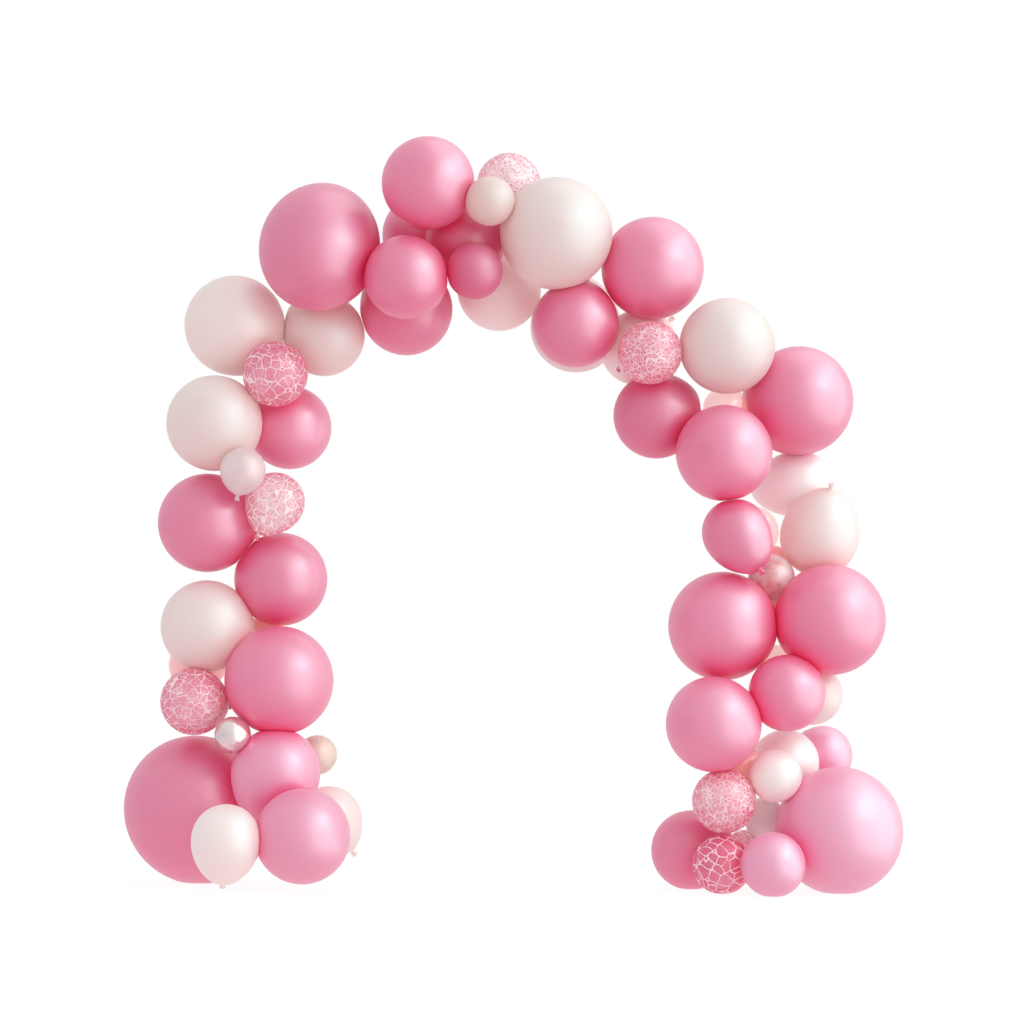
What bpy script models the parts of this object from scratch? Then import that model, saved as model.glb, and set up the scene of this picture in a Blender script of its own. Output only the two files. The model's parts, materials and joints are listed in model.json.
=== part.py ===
"""A free-standing garland arch of pink and white balloons, 2.1 m tall.

Every balloon is one turned solid: a round body that draws out to a neck, the knot and the
rolled lip.  The arch follows a spine of two upright legs joined by a half circle.  A planting
list says where each balloon goes along the spine and how wide it is blown.  The balloons are
then nestled together, so that neighbours press on each other, and each pressed place is cut
flat.  Those that stand on the floor are cut flat there too.

X runs across the arch, Y from front to back and Z up.  The origin is on the floor, under the
middle of the arch.  Metres, except in the planting list.
"""

import math

import bmesh
import bpy
import numpy as np
from mathutils import Vector

# The spine
LEG_SPAN = 1.45                # from one leg's centre line to the other's
LEG_HEIGHT = 1.08              # where the legs meet the half circle
CROWN_RADIUS = LEG_SPAN / 2

# How balloons press on each other and on the floor
SQUEEZE = 0.95                 # closest spacing of two, as a share of their radii together
TOUCH = 0.98                   # the spacing at which they just press, as such a share
REACH = 0.03                   # a wider gap than this is left open
NESTLE_ROUNDS = 400
NESTLE_STEP = 0.25
HOLD = (0.4, 0.06, 0.4)        # how firmly each keeps its place across, in depth and up
FLOOR_SAG = 0.03               # how far a standing balloon flattens, as a share of its radius
AIR = 0.00015                  # each pressed face stands this far back: 0.3 mm between two

# The neck: what follows the body, for a balloon of no size and for each metre of radius
NECK_RADIUS = (0.0035, 0.012)
NECK_LENGTH = (0.004, 0.025)
KNOT_SPREAD = 1.7              # the knot's radius, in neck radii
LIP_SPREAD = 1.9               # the lip's radius, in neck radii
KNOT_LENGTH = 2.4              # from the end of the neck to the end of the lip, in neck radii
DRAWN = 0.12                   # how far a round body draws out towards its neck, in radii
DRAWN_SHARPNESS = 9
PEAR_SHARPNESS = 3
PEAR_FROM = 0.24               # a body drawn out further than this is a pear
NECK_TRIALS = 1200
NECK_ROOM = 0.002

# Facets: up to each radius, the segments around and the rings from crown to neck
FACETS = ((0.084, 8, 4), (0.114, 8, 5), (0.14, 10, 5), (1.0, 12, 6))
STANDING_FACETS = (12, 7)

MATERIALS = {                  # colour, roughness, alpha
    "pink_latex": ((0.86, 0.22, 0.42), 0.38, 1.0),
    "white_latex": ((0.90, 0.80, 0.77), 0.38, 1.0),
    "blush_latex": ((0.88, 0.55, 0.55), 0.35, 0.85),
    "pearl_latex": ((0.80, 0.68, 0.66), 0.22, 1.0),
    "gold_latex": ((0.82, 0.66, 0.48), 0.25, 1.0),
    "clear_latex": ((0.92, 0.68, 0.72), 0.15, 0.5),
    "pink_crackle": ((0.88, 0.38, 0.52), 0.25, 0.8),
    "clear_crackle": ((0.90, 0.62, 0.70), 0.20, 0.6),
}

# The planting list, in centimetres.  On a leg: name, finish, width, height, then how far
# outward from the leg's centre line and how far forward of the spine.
LEFT_LEG = (
    ("left_foot_giant_pink", "pink_latex", 40.5, 21, 15, -13),
    ("left_foot_front_white", "white_latex", 18.5, 14.5, 3, 24),
    ("left_foot_floor_pink", "pink_latex", 25.8, 15.4, -16.5, 17),
    ("left_foot_back_white", "white_latex", 18.5, 18.5, -22.5, -3),
    ("left_foot_upper_pink", "pink_latex", 24.5, 32, -8.5, 6),
    ("left_foot_gold", "gold_latex", 11, 36, -18.5, -5.5),
    ("left_foot_pearl", "pearl_latex", 10, 40.5, 3.5, 9.5),
    ("left_foot_crackle", "pink_crackle", 18.5, 50.5, 16, 0),
    ("left_leg_large_pink", "pink_latex", 30, 56.5, -9, 2),
    ("left_leg_lower_white", "white_latex", 25.5, 71.5, 12, -4),
    ("left_leg_blush", "blush_latex", 15.5, 61, 16.5, -18),
    ("left_leg_lower_pink", "pink_latex", 26, 85, -8, -7.5),
    ("left_leg_middle_pink", "pink_latex", 27.5, 100.5, 12.5, -5),
    ("left_leg_clear_crackle", "clear_crackle", 16.5, 106, -7, 3),
    ("left_leg_pearl", "pearl_latex", 12.5, 114.5, 1.5, 9.5),
)
RIGHT_LEG = (
    ("right_leg_pear_white", "white_latex", 21.5, 97.5, 14, -6),
    ("right_leg_upper_pink", "pink_latex", 18.5, 98.5, -11, 6.5),
    ("right_leg_clear", "clear_latex", 14.5, 99.5, -6.5, -7),
    ("right_leg_pearl", "pearl_latex", 13, 85.5, -0.5, 0),
    ("right_leg_inner_pink", "pink_latex", 30, 73, -14, 1.5),
    ("right_leg_outer_pink", "pink_latex", 30.5, 75, 15.5, 3),
    ("right_leg_front_pink", "pink_latex", 21, 54.5, 3, 8.5),
    ("right_leg_back_white", "white_latex", 17, 54, 11.5, -7),
    ("right_leg_lower_pink", "pink_latex", 26, 46, -17, 11.5),
    ("right_foot_upper_white", "white_latex", 18.5, 35, 4.5, -7),
    ("right_foot_front_white", "white_latex", 14.5, 32, 0, 9),
    ("right_foot_back_pink", "pink_latex", 16.5, 37, 16, -18.5),
    ("right_foot_upper_crackle", "pink_crackle", 17.5, 25, -14, 9.5),
    ("right_foot_huge_pink", "pink_latex", 35, 17.5, 18, 4),
    ("right_foot_pearl", "pearl_latex", 11.5, 20, -1.5, -7),
    ("right_foot_inner_pink", "pink_latex", 22, 11.5, -22, -6),
    ("right_foot_lower_crackle", "pink_crackle", 16, 7.5, -14.5, 9.5),
    ("right_foot_front_pink", "pink_latex", 17.5, 9, -1.5, 19),
    ("right_foot_back_crackle", "pink_crackle", 15, 8.5, -6, -13.5),
)
# Around the crown the third number is a bearing in degrees, from 0 at the top of the left leg
# over 90 at the top of the arch to 180 at the top of the right leg.
CROWN = (
    ("left_shoulder_inner_pink", "pink_latex", 23.5, 17.5, -6.5, -11),
    ("left_shoulder_outer_white", "white_latex", 26.5, 13.5, 12.5, 1.5),
    ("left_shoulder_crackle", "pink_crackle", 18, 27, 1.5, 4),
    ("left_shoulder_upper_white", "white_latex", 28, 31.5, 19.5, -6),
    ("left_shoulder_inner_white", "white_latex", 23, 40.5, -2, -10),
    ("left_shoulder_huge_pink", "pink_latex", 33.3, 51.9, 15, 4.5),
    ("crown_top_pink", "pink_latex", 25.5, 74.5, 16.3, 12),
    ("crown_front_pink", "pink_latex", 23, 63.5, -6, 12.5),
    ("crown_lower_pink", "pink_latex", 26, 60.5, -11.5, -8.5),
    ("crown_back_pink", "pink_latex", 23.5, 71.5, 8.5, -20),
    ("crown_middle_pink", "pink_latex", 22.5, 79, 1, -3),
    ("crown_small_pink", "pink_latex", 15.5, 80, -10, 11.5),
    ("crown_small_white", "white_latex", 13.5, 85, 8, 16.5),
    ("crown_clear_crackle", "clear_crackle", 18, 89, 15.5, -3),
    ("crown_large_white", "white_latex", 31, 99, 1, 8),
    ("crown_lower_white", "white_latex", 24, 86, -11.5, -19.5),
    ("crown_inner_pink", "pink_latex", 24, 109.5, -21, 1),
    ("crown_inner_white", "white_latex", 26, 109.5, -19, -22.5),
    ("crown_right_pink", "pink_latex", 28.5, 121, 2.5, 0.5),
    ("right_shoulder_inner_white", "white_latex", 21, 129, -17, -10),
    ("right_shoulder_crackle", "pink_crackle", 17.5, 133, -18, 8.5),
    ("right_shoulder_outer_white", "white_latex", 26.5, 144.5, 0.5, 3.5),
    ("right_shoulder_inner_pink", "pink_latex", 24, 149.5, -26, -4),
    ("right_shoulder_front_pink", "pink_latex", 26.5, 168, -13, 7.5),
    ("right_shoulder_outer_pink", "pink_latex", 30.5, 160.5, 12.5, -7),
    ("right_shoulder_white", "white_latex", 18.5, 176, 9, -15),
)
STANDING = (
    "left_foot_giant_pink", "right_foot_huge_pink", "right_foot_inner_pink",
    "right_foot_lower_crackle", "right_foot_front_pink",
)
# Bodies that aren't round: half their length over their radius
STRETCH = {"left_shoulder_huge_pink": 1.22, "left_foot_giant_pink": 1.04}
# Bodies that draw out into a pear, in radii
PEARS = {
    "left_foot_front_white": 0.45,
    "left_foot_back_white": 0.2,
    "left_foot_upper_pink": 0.2,
    "left_leg_clear_crackle": 0.22,
    "left_leg_middle_pink": 0.2,
    "right_shoulder_white": 0.5,
    "right_leg_pear_white": 0.32,
    "right_leg_upper_pink": 0.4,
}
# Necks that show, and about which way they point; the others turn in towards the spine
NECKS = {
    "left_foot_giant_pink": (0.45, 0.45, -0.75),
    "left_shoulder_huge_pink": (0.1, 0.75, 0.65),
    "left_foot_front_white": (-0.1, 0.5, -0.86),
    "left_foot_back_white": (0.62, 0.3, -0.72),
    "left_foot_upper_pink": (-0.44, -0.2, -0.88),
    "left_foot_gold": (-0.1, 0.98, 0.15),
    "left_leg_clear_crackle": (-0.43, 0.1, -0.9),
    "left_leg_pearl": (0.05, 0.3, -0.95),
    "left_leg_lower_pink": (-0.2, 0.98, 0.0),
    "left_leg_middle_pink": (0.87, 0.46, 0.16),
    "right_shoulder_white": (-0.95, 0.1, -0.3),
    "right_shoulder_crackle": (-0.76, 0.53, -0.38),
    "right_leg_pear_white": (0.15, -0.36, 0.92),
    "right_leg_upper_pink": (0.3, 0.2, -0.93),
    "right_leg_clear": (0.3, 0.9, 0.2),
}


class Balloon:
    """One balloon of the planting list, with its place in metres."""

    def __init__(self, name, finish, width, place, core):
        self.name = name
        self.finish = finish
        self.radius = width / 200
        self.place = np.array(place)
        self.core = np.array(core)
        self.stretch = STRETCH.get(name, 1.0)
        self.drawn = PEARS.get(name, DRAWN)
        self.stands = name in STANDING
        self.neck = None
        self.presses = []
        if self.stands:
            self.place[2] = self.radius * self.stretch * (1 - FLOOR_SAG)

    def neck_radius(self):
        return NECK_RADIUS[0] + NECK_RADIUS[1] * self.radius

    def neck_start(self):
        """How far the body reaches from its middle to where its neck begins."""
        return self.radius * (self.stretch + self.drawn)

    def neck_end(self):
        """How far the lip is from the body's middle."""
        length = NECK_LENGTH[0] + NECK_LENGTH[1] * self.radius
        return self.neck_start() + length + KNOT_LENGTH * self.neck_radius()

    def facets(self):
        """Segments around, and rings from crown to neck."""
        if self.stands:
            return STANDING_FACETS
        for up_to, around, rings in FACETS:
            if self.radius < up_to:
                return around, rings


def plant_leg(rows, side):
    """The balloons of one leg: side is -1 for the left one and 1 for the right one."""
    line = side * LEG_SPAN / 2
    planted = []
    for name, finish, width, height, outward, forward in rows:
        place = (line + side * outward / 100, -forward / 100, height / 100)
        planted.append(Balloon(name, finish, width, place, (line, 0, height / 100)))
    return planted


def plant_crown(rows):
    """The balloons around the half circle."""
    planted = []
    for name, finish, width, bearing, outward, forward in rows:
        across = -math.cos(math.radians(bearing))
        up = math.sin(math.radians(bearing))
        out = CROWN_RADIUS + outward / 100
        place = (out * across, -forward / 100, LEG_HEIGHT + out * up)
        core = (CROWN_RADIUS * across, 0, LEG_HEIGHT + CROWN_RADIUS * up)
        planted.append(Balloon(name, finish, width, place, core))
    return planted


def nestle(balloons):
    """Let the planted balloons settle against each other.

    Each round pushes apart the pairs closer than SQUEEZE times their radii together, and draws
    a balloon and its two nearest neighbours to TOUCH times that.  The smaller one moves more,
    and every balloon is held back towards its planted place.
    """
    places = np.array([balloon.place for balloon in balloons])
    planted = places.copy()
    radii = np.array([balloon.radius for balloon in balloons])
    standing = np.array([balloon.stands for balloon in balloons])
    together = radii[:, None] + radii[None]
    yielding = radii[None] ** 2 / (radii[:, None] ** 2 + radii[None] ** 2)
    hold = np.array(HOLD)
    for _ in range(NESTLE_ROUNDS):
        apart = places[:, None] - places[None]
        distance = np.linalg.norm(apart, axis=2)
        np.fill_diagonal(distance, 1e3)
        press = np.maximum(SQUEEZE * together - distance, 0)
        gap = distance - TOUCH * together
        nearest = gap <= np.sort(gap, axis=1)[:, 1:2]
        drawn = (nearest | nearest.T) & (gap > 0) & (gap < REACH)
        push = press - np.where(drawn, gap, 0)
        way = apart / distance[:, :, None]
        move = (way * (push * yielding)[:, :, None]).sum(axis=1)
        move += hold * (planted - places)
        move[standing, 2] = 0
        places += NESTLE_STEP * move
    for balloon, place in zip(balloons, places):
        balloon.place = place


def find_presses(balloons):
    """The plane between each two close neighbours, as a way out from each and a distance.

    It is the plane that holds the circle in which two round bodies would cross, or the one
    halfway across the gap between bodies that stay clear of each other.
    """
    for one in balloons:
        for other in balloons:
            if one is other:
                continue
            way = other.place - one.place
            distance = np.linalg.norm(way)
            if distance < one.neck_end() + other.neck_end():
                reach = (distance ** 2 + one.radius ** 2 - other.radius ** 2) / (2 * distance)
                one.presses.append((way / distance, reach))


def even_directions(count):
    """Directions spread evenly over the sphere, along a golden spiral."""
    steps = np.arange(count) + 0.5
    height = 1 - 2 * steps / count
    turn = math.pi * (3 - math.sqrt(5)) * steps
    ring = np.sqrt(1 - height ** 2)
    return np.stack([ring * np.cos(turn), ring * np.sin(turn), height], axis=1)


def neck_room(balloon, direction, necks):
    """The clear space around a neck in this direction, to the neighbours and their necks."""
    thick = LIP_SPREAD * balloon.neck_radius()
    start = balloon.place + direction * balloon.neck_start()
    end = balloon.place + direction * balloon.neck_end()
    room = end[2] - thick
    for way, reach in balloon.presses:
        room = min(room, reach - float((end - balloon.place) @ way) - thick)
    along = np.linspace(0, 1, 5)[:, None]
    points = start + along * (end - start)
    for other_points, other_thick in necks:
        between = np.linalg.norm(points[:, None] - other_points[None], axis=2).min()
        room = min(room, between - thick - other_thick)
    return room, points, thick


def turn_necks(balloons):
    """Point each neck where NECKS says or in towards the spine, by a way that leaves it room."""
    trials = even_directions(NECK_TRIALS)
    necks = []
    for balloon in sorted(balloons, key=lambda one: one.name not in NECKS):
        if balloon.name in NECKS:
            liking = trials @ np.array(NECKS[balloon.name])
        else:
            inward = balloon.core - balloon.place + np.array([0, 0.8 * balloon.radius, 0])
            inward /= np.linalg.norm(inward)
            liking = trials @ inward - np.where(trials[:, 1] < -0.2, 1.0, 0.0)
        best_room = -1.0
        for index in np.argsort(-liking):
            room, _, _ = neck_room(balloon, trials[index], necks)
            if room > best_room:
                best_room = room
                direction = trials[index]
            if room > NECK_ROOM:
                break
        _, points, thick = neck_room(balloon, direction, necks)
        necks.append((points, thick))
        balloon.neck = direction


def body_outline(balloon):
    """The outline from crown to lip, as radius and height over the body's middle.

    The body is a half circle, stretched along its length.  A power of the distance from the
    crown draws its lower end out into a cone.  The neck, the knot and the lip follow.
    """
    rings = balloon.facets()[1]
    sharpness = PEAR_SHARPNESS if balloon.drawn > PEAR_FROM else DRAWN_SHARPNESS
    outline = [(0.0, balloon.radius * balloon.stretch)]
    for ring in range(1, rings + 1):
        angle = math.pi * ring / (rings + 0.6)
        draw = balloon.drawn * ((1 - math.cos(angle)) / 2) ** sharpness
        height = balloon.stretch * math.cos(angle) - draw
        outline.append((balloon.radius * math.sin(angle), balloon.radius * height))
    neck = balloon.neck_radius()
    end = balloon.neck_end()
    outline.append((neck, KNOT_LENGTH * neck - end))
    outline.append((KNOT_SPREAD * neck, 0.55 * KNOT_LENGTH * neck - end))
    outline.append((LIP_SPREAD * neck, -end))
    outline.append((0.0, -end))
    return outline


def turned(name, outline, around):
    """The outline, run around the vertical axis with a Screw modifier."""
    profile = bpy.data.meshes.new(name)
    points = [(radius, 0, height) for radius, height in outline]
    profile.from_pydata(points, [(i, i + 1) for i in range(len(points) - 1)], [])
    piece = bpy.data.objects.new(name, profile)
    bpy.context.scene.collection.objects.link(piece)
    screw = piece.modifiers.new("Turned", "SCREW")
    screw.steps = around
    screw.render_steps = around
    screw.use_merge_vertices = True
    screw.merge_threshold = 0.0001
    seen = piece.evaluated_get(bpy.context.evaluated_depsgraph_get())
    mesh = bpy.data.meshes.new_from_object(seen)
    bpy.data.objects.remove(piece)
    bpy.data.meshes.remove(profile)
    return mesh


def press(mesh, planes):
    """Cut the body back to each plane and close it with a flat face."""
    shape = bmesh.new()
    shape.from_mesh(mesh)
    for point, way in planes:
        if max((vertex.co - point).dot(way) for vertex in shape.verts) <= 0:
            continue
        cut = shape.verts[:] + shape.edges[:] + shape.faces[:]
        bmesh.ops.bisect_plane(shape, geom=cut, dist=0.0003, plane_co=point, plane_no=way,
                               clear_outer=True)
        rim = [edge for edge in shape.edges if edge.is_boundary]
        bmesh.ops.holes_fill(shape, edges=rim)
    bmesh.ops.dissolve_degenerate(shape, edges=shape.edges[:], dist=0.0002)
    bmesh.ops.triangulate(shape, faces=[face for face in shape.faces if len(face.verts) > 4])
    bmesh.ops.recalc_face_normals(shape, faces=shape.faces[:])
    shape.to_mesh(mesh)
    shape.free()


def finish_material(finish):
    """The plain shader of one kind of balloon."""
    colour, roughness, alpha = MATERIALS[finish]
    material = bpy.data.materials.new(finish)
    material.use_nodes = True
    shader = material.node_tree.nodes["Principled BSDF"]
    shader.inputs["Base Color"].default_value = (*colour, 1)
    shader.inputs["Roughness"].default_value = roughness
    shader.inputs["Metallic"].default_value = 0
    shader.inputs["Alpha"].default_value = alpha
    return material


def make_balloon(balloon, collection, material):
    """Turn one balloon, set it in its place and press it flat against its neighbours."""
    mesh = turned(balloon.name, body_outline(balloon), balloon.facets()[0])
    piece = bpy.data.objects.new(balloon.name, mesh)
    mesh.name = balloon.name
    collection.objects.link(piece)
    piece.location = Vector(balloon.place)
    piece.rotation_mode = "QUATERNION"
    piece.rotation_quaternion = Vector(balloon.neck).to_track_quat("-Z", "X")
    turn = piece.rotation_quaternion.to_matrix().transposed()
    planes = []
    for way, reach in balloon.presses:
        local = turn @ Vector(way)
        planes.append((local * (reach - AIR), local))
    down = turn @ Vector((0, 0, -1))
    planes.append((down * balloon.place[2], down))
    press(mesh, planes)
    mesh.shade_smooth()
    mesh.set_sharp_from_angle(angle=math.radians(50))
    mesh.materials.append(material)
    return piece


def stand_over_origin(pieces):
    """Move all the pieces so that their box stands centred over the origin."""
    bpy.context.view_layer.update()
    points = np.array([piece.matrix_world @ vertex.co
                       for piece in pieces for vertex in piece.data.vertices])
    low = points.min(axis=0)
    high = points.max(axis=0)
    for piece in pieces:
        piece.location -= Vector(((low[0] + high[0]) / 2, (low[1] + high[1]) / 2, low[2]))


def main():
    for thing in list(bpy.data.objects):
        bpy.data.objects.remove(thing)
    collection = bpy.data.collections.new("balloon_garland")
    bpy.context.scene.collection.children.link(collection)
    balloons = plant_leg(LEFT_LEG, -1) + plant_crown(CROWN) + plant_leg(RIGHT_LEG, 1)
    nestle(balloons)
    find_presses(balloons)
    turn_necks(balloons)
    materials = {finish: finish_material(finish) for finish in MATERIALS}
    pieces = [make_balloon(balloon, collection, materials[balloon.finish])
              for balloon in balloons]
    stand_over_origin(pieces)


main()
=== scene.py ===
"""A free-standing garland arch of latex balloons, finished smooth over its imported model.

Every faceted balloon of the model is measured and replaced by a finely modelled one: a round
skin that presses on its neighbours, draws in to a pleated neck and ends in a knot and a rolled
lip.  Seven more small balloons fill gaps at the back.
"""

import json
import math

import bpy
import numpy as np
from mathutils import Matrix, Vector


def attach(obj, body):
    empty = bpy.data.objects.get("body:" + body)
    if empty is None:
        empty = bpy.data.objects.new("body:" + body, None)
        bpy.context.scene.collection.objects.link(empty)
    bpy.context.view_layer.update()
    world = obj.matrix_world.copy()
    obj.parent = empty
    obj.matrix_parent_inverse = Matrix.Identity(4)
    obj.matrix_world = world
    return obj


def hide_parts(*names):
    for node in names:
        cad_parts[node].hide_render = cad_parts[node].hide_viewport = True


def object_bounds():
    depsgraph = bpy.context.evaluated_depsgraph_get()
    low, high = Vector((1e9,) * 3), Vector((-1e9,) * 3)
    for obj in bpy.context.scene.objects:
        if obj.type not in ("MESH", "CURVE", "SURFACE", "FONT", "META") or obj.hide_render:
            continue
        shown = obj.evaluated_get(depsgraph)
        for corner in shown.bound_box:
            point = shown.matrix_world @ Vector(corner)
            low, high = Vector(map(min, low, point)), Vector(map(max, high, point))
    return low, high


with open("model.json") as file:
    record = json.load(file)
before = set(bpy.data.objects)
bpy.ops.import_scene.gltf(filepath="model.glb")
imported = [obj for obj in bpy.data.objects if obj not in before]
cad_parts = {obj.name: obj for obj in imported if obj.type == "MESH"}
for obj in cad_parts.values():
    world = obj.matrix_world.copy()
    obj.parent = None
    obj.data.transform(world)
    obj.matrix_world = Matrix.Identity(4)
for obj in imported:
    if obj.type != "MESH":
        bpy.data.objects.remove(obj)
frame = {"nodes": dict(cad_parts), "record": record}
cad_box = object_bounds()

# ---------------------------------------------------------------- how a balloon is made

NECK_RADIUS = (0.0035, 0.012)      # for a balloon of no size, and for each metre of radius
NECK_LENGTH = (0.004, 0.025)
KNOT_LENGTH = 2.4                  # from the end of the neck to the end of the lip, in neck radii
DRAWN = 0.12                       # how far a round body draws out towards its neck, in radii
DRAWN_SHARPNESS = 9                # the power by which the draw comes on towards the neck
PEAR_SHARPNESS = 3                 # the same for a pear, which draws out sooner
DRAW_ROUNDS = 4                    # rounds that it takes to undo the draw at a point
PEAR_FROM = 0.24                   # a body drawn out further than this is a pear
# Bodies that are longer than they are wide, by this ratio
STRETCH = {"left_shoulder_huge_pink": 1.22, "left_foot_giant_pink": 1.04}
# Bodies that are drawn out by more than the round ones
PEARS = {
    "left_foot_front_white": 0.45,
    "left_foot_back_white": 0.2,
    "left_foot_upper_pink": 0.2,
    "left_leg_clear_crackle": 0.22,
    "left_leg_middle_pink": 0.2,
    "right_shoulder_white": 0.5,
    "right_leg_pear_white": 0.32,
    "right_leg_upper_pink": 0.4,
}

# Small balloons that fill the gaps at the back: name, finish, width, and the three that each
# rests against.  The last one stands on the floor against two.
FILLERS = (
    ("left_leg_inner_blush", "blush_latex", 0.135,
     ("left_leg_large_pink", "left_leg_lower_white", "left_leg_lower_pink")),
    ("right_shoulder_clear", "clear_latex", 0.125,
     ("right_shoulder_outer_white", "right_shoulder_front_pink", "right_shoulder_outer_pink")),
    ("right_leg_blush", "blush_latex", 0.105,
     ("right_leg_pear_white", "right_leg_clear", "right_leg_pearl")),
    ("right_leg_inner_blush", "blush_latex", 0.125,
     ("right_leg_pearl", "right_leg_inner_pink", "right_leg_outer_pink")),
    ("right_leg_back_clear", "clear_latex", 0.11,
     ("right_leg_inner_pink", "right_leg_outer_pink", "right_leg_front_pink")),
    ("right_foot_blush", "blush_latex", 0.125,
     ("right_leg_lower_pink", "right_foot_upper_white", "right_foot_upper_crackle")),
    ("right_foot_clear", "clear_latex", 0.10,
     ("right_foot_back_crackle", "right_foot_huge_pink")),
)
SNUG = 0.97                        # how close they rest, as a share of the radii together
FILLER_WAYS = 600                  # directions tried for a filler's neck
NECK_CLEARANCE = 0.03              # more room than this around a neck is of no use
TO_THE_BACK = 0.2                  # what a neck that points back is worth, in clearances

BALL_TRIALS = 3000                 # sets of four corners tried for each ball
FOUR_APART = 0.2                   # a set of four must span this share of a cube of the size
BALL_MISS = 0.0004                 # a corner this near to a ball lies on it
FIT_FROM = 0.01                    # how far out the fitting starts to look
FIT_ROUNDS = 40                    # rounds of the fitting
BALL_SEED = 5                      # for the sets of four corners
FIT_TRIAL = 1e-5                   # a small move, which shows how the fit changes
FIT_STEP = 0.005                   # the furthest that one round moves a balloon
LIP_DEPTH = 0.002                  # corners this near to the furthest one are on the lip

AIR = 0.00015                      # each pressed face stands this far back from its plane
RIM = 0.0008                       # how far the rim of a pressed flat is rounded off
GRID = 0.0075                      # the spacing of a skin's points
FEWEST_AROUND = 56                 # points around the thinnest balloon
UPRIGHT = 0.9                      # a neck whose way is more than this up or down is upright
FILLET_FROM = 3.2                  # where the body gives way to the fillet, in neck radii
FILLET_RINGS = 7
KNOT_RINGS = 20
# Neck, knot and rolled lip: how far out and how far along, in neck radii from the neck's end
KNOT = (
    (1.0, -0.3), (1.0, 0.0), (1.3, 0.2), (1.66, 0.5), (1.68, 0.85), (1.4, 1.15), (1.08, 1.35),
    (1.15, 1.6), (1.45, 1.9), (1.75, 2.1), (1.9, 2.25), (1.82, 2.4), (1.6, 2.38), (1.35, 2.2),
    (1.0, 2.0), (0.5, 1.9), (0.0, 1.88),
)
PLEATS = 9
PLEAT_DEPTH = 0.11                 # of the neck's pleats, as a share of its radius
PLEATS_FROM = 7                    # neck radii out from the neck where the pleats begin
PLEAT_TWIST = 0.45                 # radians for each neck radius along the knot
PLEATS_FADE = (1.3, 0.4)           # their depth at the knot, and lost in each neck radius
SHALLOWEST_PLEAT = 0.15
TAIL_LEAN = 0.07                   # how far the tail leans aside, in neck radii
BODY_SHARE = 0.9                   # of the way from crown to mouth in the skin's layout
CONTACT_SHADE_REACH = 0.03                    # how far from its skin a balloon still paints shade and red bounce light on another
# How much pale balloons add to the painted shade and red bounce light on others, where a pink one
# does by 1
PAINTED_REDDENING = {"white_latex": 0.35, "clear_latex": 0.3, "clear_crackle": 0.4, "gold_latex": 0.4}

# ---------------------------------------------------------------- colours and light

THIN_COLOUR = (0.96, 0.92, 0.91)   # what tight latex fades to
TIGHT_TONES = (1.0, 5.0)           # the tones from which it begins to, and at which it has
SLACK_TONES = (-1.0, -5.0)         # the tones from which latex looks thick, and at which it is
SLACK_SHINE = 0.15                 # what is left of its shine then
TONE_LIFT = 0.025                  # how much lighter each step of tone makes it
CONTACT_SHADE_LIFT = 0.16                # how much lighter the painted contact shade first makes it between neighbours
CROWN_SPOT = (0.02, 0.1)           # the thick spot at the crown ends between these shares
CROWN_DEPTH = 0.35                 # how deep its colour is, against the neck's
THROAT = (0.8, 0.93)               # the neck's thick latex comes in between these shares
# What the grain, the thick ends and slack latex add to the roughness
GRAIN_ROUGHNESS = 0.12
DRAWN_UP_ROUGHNESS = -0.05
SLACK_ROUGHNESS = 0.12
NET_BEND = 0.02                    # how far noise bends the crackle net
NET_SWELL = (0.6, 1.3)             # how narrow and how broad its lines get, in widths
NET_CLOSENESS = (0.8, 1.2)         # how close it is on a deep and on a pale balloon
FINER = 1.9                        # how much closer its fine lines are
LINE_ALPHA = 0.95                  # how much its lines hide what is behind them
LIGHT_ABOVE = (0.87, 0.85, 0.84)
LIGHT_LEFT = (0.71, 0.71, 0.75)
LIGHT_RIGHT = (0.97, 0.97, 0.95)
LIGHT_BELOW = (0.94, 0.68, 0.70)
# Name, way from the arch's middle, distance, size, watts, colour, and if it only shows in gloss
SOFTBOXES = (
    ("key", (0.73, -0.38, 0.56), 8.0, 4.4, 100, (1.0, 0.98, 0.97), False),
    ("glint", (0.72, -0.50, 0.47), 8.0, 2.6, 110, (1.0, 1.0, 1.0), True),
    ("sheen", (0.80, -0.32, 0.15), 8.0, 16.0, 2050, (1.0, 0.99, 0.98), True),
    ("top sheen", (0.42, 0.12, 0.90), 8.0, 8.0, 330, (1.0, 1.0, 1.0), True),
)
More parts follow.
